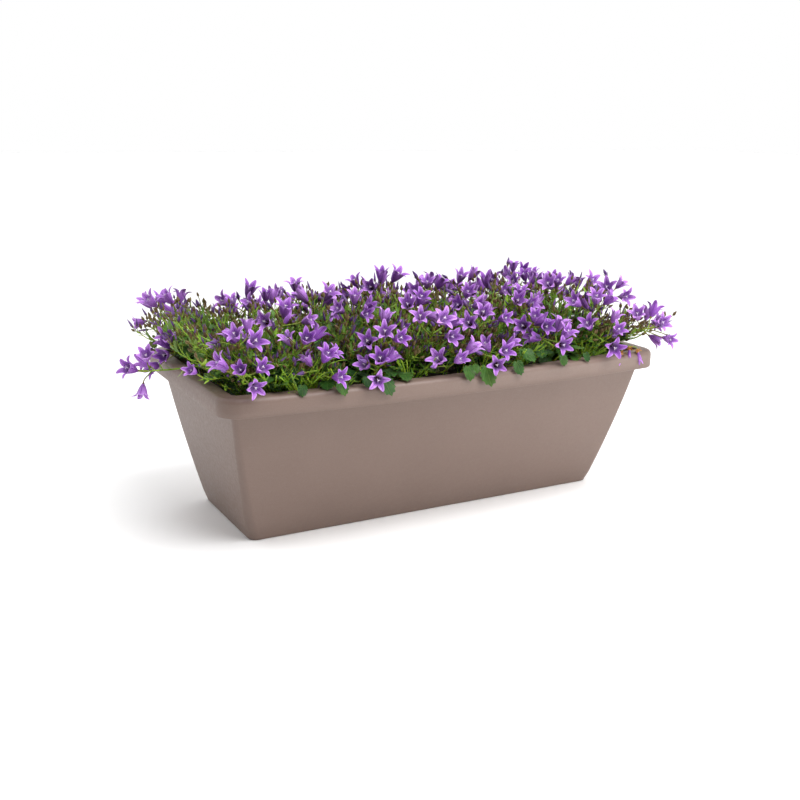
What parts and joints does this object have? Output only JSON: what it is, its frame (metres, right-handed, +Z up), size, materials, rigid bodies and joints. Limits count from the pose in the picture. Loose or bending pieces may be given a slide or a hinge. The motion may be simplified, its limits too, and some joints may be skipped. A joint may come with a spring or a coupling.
{
  "type": "planted window box",
  "caption": "Long tapered plastic window box with a turned-down rim, planted full of low bellflowers: star-shaped violet blooms and slim buds over small heart-shaped leaves.",
  "frame": {"origin": "middle of the underside of the box, on the surface that the box stands on", "axes": "+X along the length of the box, to the right as seen from the front; -Y towards the front, the long side that the picture shows; +Z up"},
  "size_m": [0.7172, 0.3514, 0.3033],
  "materials": {
    "box": "satin",
    "soil": "matte",
    "foliage": "matte",
    "petals": "satin"
  },
  "bodies": {
    "root": {"window_box": "box", "potting_soil": "soil", "plant_1_leafy_stems": "foliage", "plant_2_leafy_stems": "foliage", "plant_3_leafy_stems": "foliage", "plant_4_leafy_stems": "foliage", "plant_5_leafy_stems": "foliage", "plant_6_leafy_stems": "foliage", "plant_7_leafy_stems": "foliage", "plant_8_leafy_stems": "foliage", "plant_1_bloom_spray_1": "petals", "plant_1_bloom_spray_2": "petals", "plant_1_bloom_spray_3": "petals", "plant_1_bloom_spray_4": "petals", "plant_1_bloom_spray_5": "petals", "plant_1_bloom_spray_6": "petals", "plant_2_bloom_spray_1": "petals", "plant_2_bloom_spray_2": "petals", "plant_2_bloom_spray_3": "petals", "plant_2_bloom_spray_4": "petals", "plant_2_bloom_spray_5": "petals", "plant_2_bloom_spray_6": "petals", "plant_3_bloom_spray_1": "petals", "plant_3_bloom_spray_2": "petals", "plant_3_bloom_spray_3": "petals", "plant_3_bloom_spray_4": "petals", "plant_3_bloom_spray_5": "petals", "plant_3_bloom_spray_6": "petals", "plant_4_bloom_spray_1": "petals", "plant_4_bloom_spray_2": "petals", "plant_4_bloom_spray_3": "petals", "plant_4_bloom_spray_4": "petals", "plant_4_bloom_spray_5": "petals", "plant_4_bloom_spray_6": "petals", "plant_5_bloom_spray_1": "petals", "plant_5_bloom_spray_2": "petals", "plant_5_bloom_spray_3": "petals", "plant_5_bloom_spray_4": "petals", "plant_5_bloom_spray_5": "petals", "plant_5_bloom_spray_6": "petals", "plant_6_bloom_spray_1": "petals", "plant_6_bloom_spray_2": "petals", "plant_6_bloom_spray_3": "petals", "plant_6_bloom_spray_4": "petals", "plant_6_bloom_spray_5": "petals", "plant_6_bloom_spray_6": "petals", "plant_7_bloom_spray_1": "petals", "plant_7_bloom_spray_2": "petals", "plant_7_bloom_spray_3": "petals", "plant_7_bloom_spray_4": "petals", "plant_7_bloom_spray_5": "petals", "plant_7_bloom_spray_6": "petals", "plant_8_bloom_spray_1": "petals", "plant_8_bloom_spray_2": "petals", "plant_8_bloom_spray_3": "petals", "plant_8_bloom_spray_4": "petals", "plant_8_bloom_spray_5": "petals", "plant_8_bloom_spray_6": "petals"}
  },
  "joints": []
}
